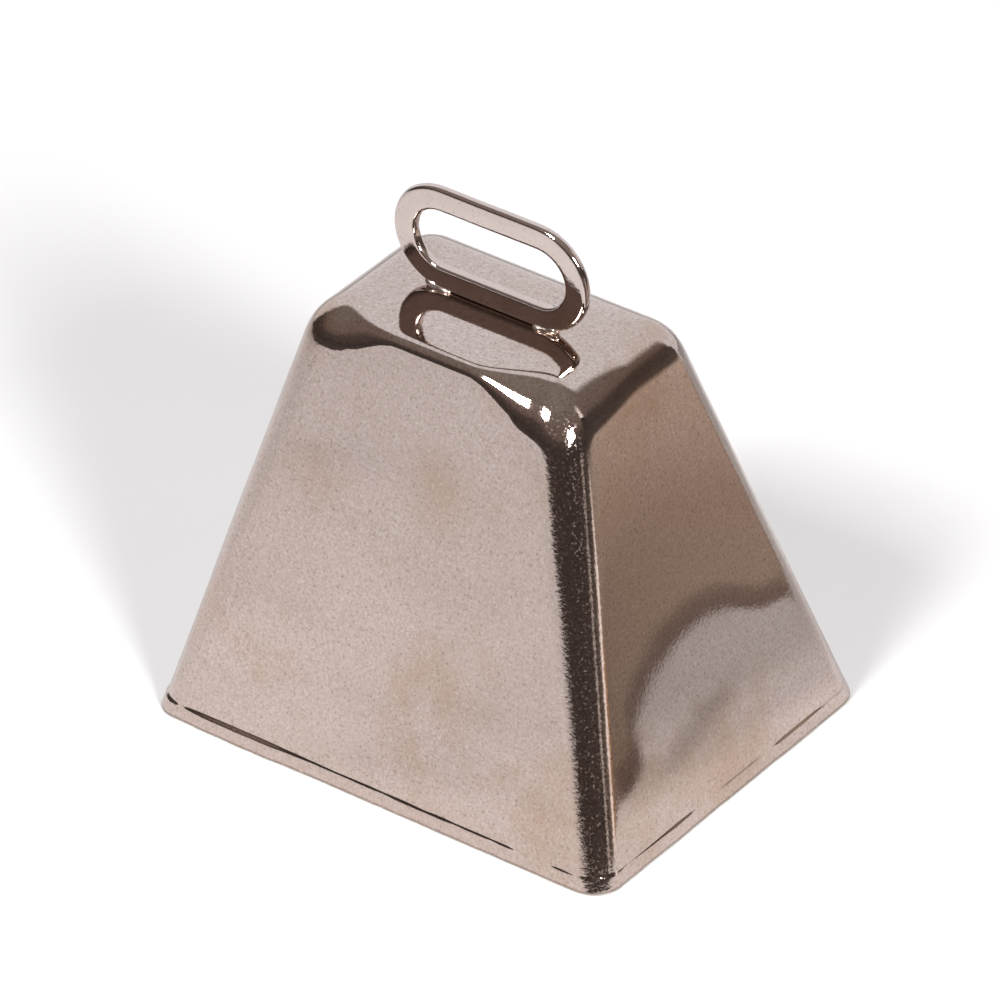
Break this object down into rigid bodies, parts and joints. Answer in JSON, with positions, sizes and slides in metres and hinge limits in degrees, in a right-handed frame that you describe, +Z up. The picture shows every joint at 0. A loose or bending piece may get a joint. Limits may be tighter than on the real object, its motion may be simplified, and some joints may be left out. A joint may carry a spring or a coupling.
{
  "type": "cowbell",
  "caption": "Small four-sided flared bell of plated sheet steel with a flat slotted hanger link on its crown and a forged clapper swinging from a flat bail inside.",
  "frame": {"origin": "centre of the mouth, in the plane of the rim that the bell stands on", "axes": "+Z up through the crown and hanger, X along the mouth's long side and the hanger, Y along the mouth's short side, in which the clapper swings"},
  "size_m": [0.0602, 0.0468, 0.062],
  "materials": {
    "shell_plate": "warm bright nickel plate with fine orange peel",
    "hanger_plate": "bright nickel plate on stamped strip",
    "hanger_bead": "plated weld nugget, slightly heat coloured",
    "bail_steel": "thinly plated strip with bright sheared edges",
    "bail_bead": "dark weld nugget",
    "clapper_steel": "forged and filed steel with a worn, mottled plate"
  },
  "bodies": {
    "bell": {"shell": "shell_plate", "hanger_loop": "hanger_plate", "hanger_weld_left": "hanger_bead", "hanger_weld_right": "hanger_bead", "clapper_bail": "bail_steel", "bail_weld_left": "bail_bead", "bail_weld_right": "bail_bead"},
    "clapper": {"clapper": "clapper_steel"}
  },
  "joints": [
    {"name": "clapper_swing", "type": "hinge", "parent": "bell", "child": "clapper", "pos_m": [0, 0, 0.0427], "axis": [1, 0, 0], "range_deg": [-25, 25]}
  ]
}
